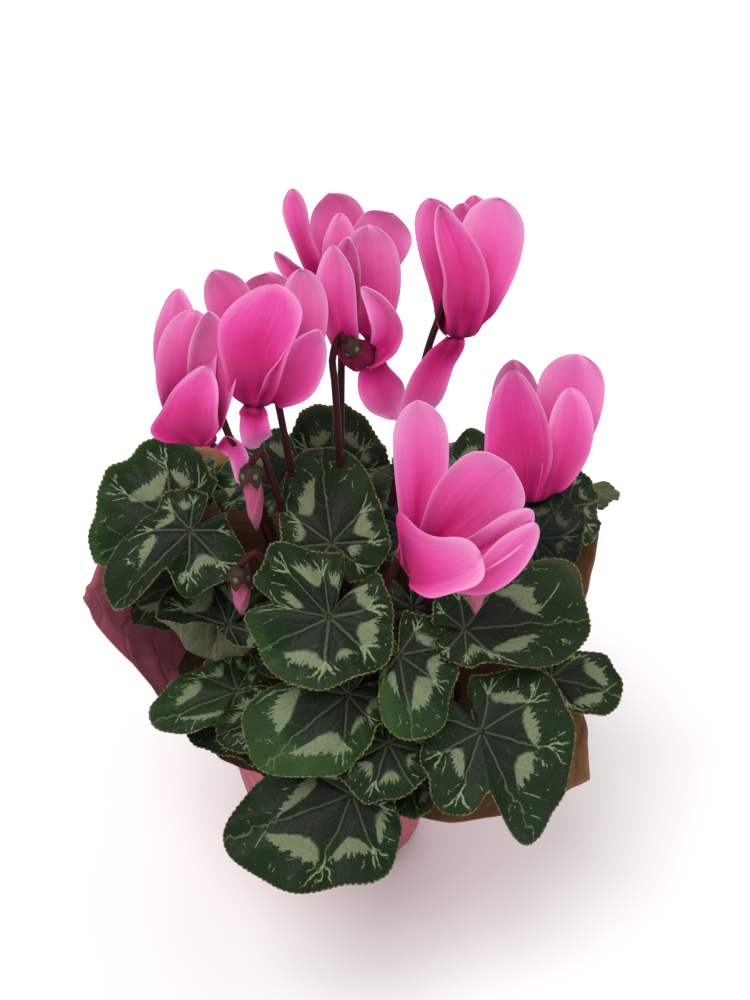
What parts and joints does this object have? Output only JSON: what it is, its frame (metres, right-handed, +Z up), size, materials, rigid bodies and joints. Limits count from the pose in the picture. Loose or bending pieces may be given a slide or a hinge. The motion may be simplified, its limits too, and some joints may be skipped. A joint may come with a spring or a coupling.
{
  "type": "potted cyclamen",
  "caption": "Flowering cyclamen house plant with marbled heart-shaped leaves and upswept pink blooms, in a round pot inside a folded paper wrap that flares open at the top.",
  "frame": {"origin": "centre of the wrap's flat underside, where the potted plant rests on its table", "axes": "+Z up; -Y towards the front, the side the lowest leaves lean to; +X to the right as seen from the front"},
  "size_m": [0.272, 0.2505, 0.3699],
  "materials": {
    "wrap_paper": "matte",
    "pot_plastic": "satin",
    "potting_soil": "matte",
    "tuber_skin": "matte",
    "flower_stem": "satin",
    "bud": "satin",
    "petal": "satin",
    "leaf": "satin"
  },
  "bodies": {
    "root": {"bud_front": "bud", "bud_left": "bud", "bud_low_left": "bud", "corolla_back_centre": "petal", "corolla_front": "petal", "corolla_front_centre": "petal", "corolla_left": "petal", "corolla_left_centre": "petal", "corolla_right": "petal", "corolla_right_centre": "petal", "flower_stem_back_centre": "flower_stem", "flower_stem_front": "flower_stem", "flower_stem_front_centre": "flower_stem", "flower_stem_left": "flower_stem", "flower_stem_left_centre": "flower_stem", "flower_stem_right": "flower_stem", "flower_stem_right_centre": "flower_stem", "leaf_back_centre": "leaf", "leaf_back_left": "leaf", "leaf_back_low": "leaf", "leaf_back_low_left": "leaf", "leaf_back_low_right": "leaf", "leaf_back_right": "leaf", "leaf_back_top_left": "leaf", "leaf_bottom_centre": "leaf", "leaf_bottom_deep": "leaf", "leaf_bottom_front": "leaf", "leaf_centre_deep": "leaf", "leaf_centre_shaded": "leaf", "leaf_centre_upright": "leaf", "leaf_front_centre": "leaf", "leaf_left_back": "leaf", "leaf_left_deep": "leaf", "leaf_left_front": "leaf", "leaf_left_inner": "leaf", "leaf_left_low": "leaf", "leaf_left_rolled": "leaf", "leaf_left_tucked": "leaf", "leaf_left_under": "leaf", "leaf_left_upper": "leaf", "leaf_low_centre": "leaf", "leaf_olive_tip": "leaf", "leaf_right_back": "leaf", "leaf_right_centre": "leaf", "leaf_right_deep": "leaf", "leaf_right_low": "leaf", "leaf_right_pointed": "leaf", "leaf_right_shaded": "leaf", "leaf_right_upper": "leaf", "leaf_upper_centre": "leaf", "pot": "pot_plastic", "soil": "potting_soil", "tuber": "tuber_skin", "wrap": "wrap_paper"}
  },
  "joints": []
}
